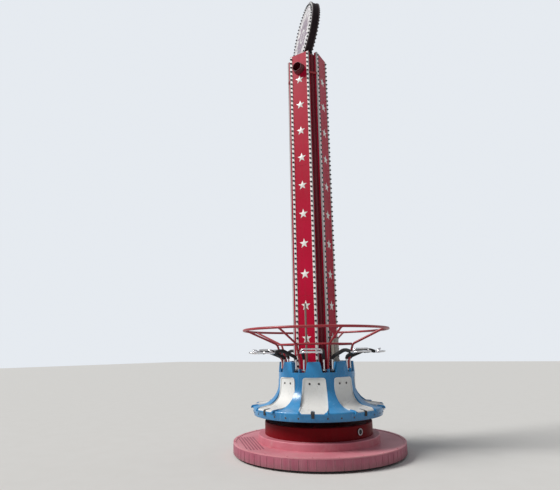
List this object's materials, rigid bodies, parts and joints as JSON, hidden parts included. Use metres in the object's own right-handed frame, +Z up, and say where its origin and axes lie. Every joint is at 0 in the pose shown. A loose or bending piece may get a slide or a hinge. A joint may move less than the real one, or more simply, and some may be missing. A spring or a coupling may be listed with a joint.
{
  "type": "rotating tower ride",
  "caption": "Fairground tower ride: a round gondola of outward-facing seats with drop-down bars climbs and turns on a square lit mast under a disc sign.",
  "frame": {"origin": "on the ground at the middle of the round base", "axes": "+Z up along the mast; -Y out of the mast's front light panel"},
  "size_m": [2.82, 2.82, 8.6141],
  "materials": {
    "black_base": "matt black paint, dusty",
    "faded_red_skirt": "worn satin paint",
    "pink_deck": "faded satin paint with tread",
    "dark_red_drum": "satin paint",
    "port_black": "matt",
    "bearing_steel": "dark machined steel",
    "mast_steel": "dark red paint",
    "panel_red": "gloss red paint",
    "collar_red": "satin dark red paint",
    "silver_trim": "satin silver paint",
    "disc_white": "satin white paint",
    "disc_rim": "gloss red paint",
    "shell_blue": "gloss blue glass-fibre",
    "seat_white": "satin off-white",
    "strap_black": "woven webbing",
    "bracket_black": "black paint",
    "frame_grey": "dark grey paint",
    "crown_red": "gloss red paint",
    "box_beige": "satin beige-grey paint",
    "rod_grey": "satin paint",
    "bar_chrome": "polished",
    "pad_black": "matt foam skin"
  },
  "bodies": {
    "base": {"base_plinth": "black_base", "platform": "faded_red_skirt", "deck": "pink_deck", "step": "pink_deck", "drive_drum": "dark_red_drum", "drum_port": "port_black", "slew_ring": "bearing_steel"},
    "mast": {"turntable": "bearing_steel", "mast": "mast_steel", "light_panel_front": "panel_red", "light_panel_right": "panel_red", "light_panel_back": "panel_red", "light_panel_left": "panel_red", "panel_collar": "collar_red", "panel_spacers": "mast_steel", "guide_rails": "mast_steel", "corner_ties": "silver_trim", "head_plate": "silver_trim", "disc_sign": "disc_white", "disc_trims": "disc_rim", "disc_feet": "silver_trim"},
    "gondola": {"shell_1": "shell_blue", "shell_2": "shell_blue", "shell_3": "shell_blue", "shell_4": "shell_blue", "shell_5": "shell_blue", "shell_6": "shell_blue", "shell_7": "shell_blue", "shell_8": "shell_blue", "seat_inserts": "seat_white", "crotch_straps": "strap_black", "hinge_brackets": "bracket_black", "carriage_low_frame": "frame_grey", "carriage_high_frame": "frame_grey", "carriage_posts": "frame_grey", "guide_rollers": "bearing_steel", "crown_top_ring": "crown_red", "crown_low_ring": "crown_red", "crown_struts": "crown_red", "control_box": "box_beige", "limit_rod": "rod_grey"},
    "restraint_1": {"restraint_bar_1": "bar_chrome", "restraint_pads_1": "pad_black"},
    "restraint_2": {"restraint_bar_2": "bar_chrome", "restraint_pads_2": "pad_black"},
    "restraint_3": {"restraint_bar_3": "bar_chrome", "restraint_pads_3": "pad_black"},
    "restraint_4": {"restraint_bar_4": "bar_chrome", "restraint_pads_4": "pad_black"},
    "restraint_5": {"restraint_bar_5": "bar_chrome", "restraint_pads_5": "pad_black"},
    "restraint_6": {"restraint_bar_6": "bar_chrome", "restraint_pads_6": "pad_black"},
    "restraint_7": {"restraint_bar_7": "bar_chrome", "restraint_pads_7": "pad_black"},
    "restraint_8": {"restraint_bar_8": "bar_chrome", "restraint_pads_8": "pad_black"}
  },
  "joints": [
    {"name": "tower_turn", "type": "hinge", "parent": "base", "child": "mast", "pos_m": [0, 0, 0.52], "axis": [0, 0, 1], "continuous": true},
    {"name": "gondola_lift", "type": "slide", "parent": "mast", "child": "gondola", "axis": [0, 0, 1], "range_m": [0, 4.6]},
    {"name": "restraint_close_1", "type": "hinge", "parent": "gondola", "child": "restraint_1", "pos_m": [0.22004, -0.53123, 1.313], "axis": [0.9239, 0.3827, 0], "range_deg": [0, 55]},
    {"name": "restraint_close_2", "type": "hinge", "parent": "gondola", "child": "restraint_2", "pos_m": [0.53123, -0.22004, 1.313], "axis": [0.3827, 0.9239, 0], "range_deg": [0, 55]},
    {"name": "restraint_close_3", "type": "hinge", "parent": "gondola", "child": "restraint_3", "pos_m": [0.53123, 0.22004, 1.313], "axis": [-0.3827, 0.9239, 0], "range_deg": [0, 55]},
    {"name": "restraint_close_4", "type": "hinge", "parent": "gondola", "child": "restraint_4", "pos_m": [0.22004, 0.53123, 1.313], "axis": [-0.9239, 0.3827, 0], "range_deg": [0, 55]},
    {"name": "restraint_close_5", "type": "hinge", "parent": "gondola", "child": "restraint_5", "pos_m": [-0.22004, 0.53123, 1.313], "axis": [-0.9239, -0.3827, 0], "range_deg": [0, 55]},
    {"name": "restraint_close_6", "type": "hinge", "parent": "gondola", "child": "restraint_6", "pos_m": [-0.53123, 0.22004, 1.313], "axis": [-0.3827, -0.9239, 0], "range_deg": [0, 55]},
    {"name": "restraint_close_7", "type": "hinge", "parent": "gondola", "child": "restraint_7", "pos_m": [-0.53123, -0.22004, 1.313], "axis": [0.3827, -0.9239, 0], "range_deg": [0, 55]},
    {"name": "restraint_close_8", "type": "hinge", "parent": "gondola", "child": "restraint_8", "pos_m": [-0.22004, -0.53123, 1.313], "axis": [0.9239, -0.3827, 0], "range_deg": [0, 55]}
  ]
}
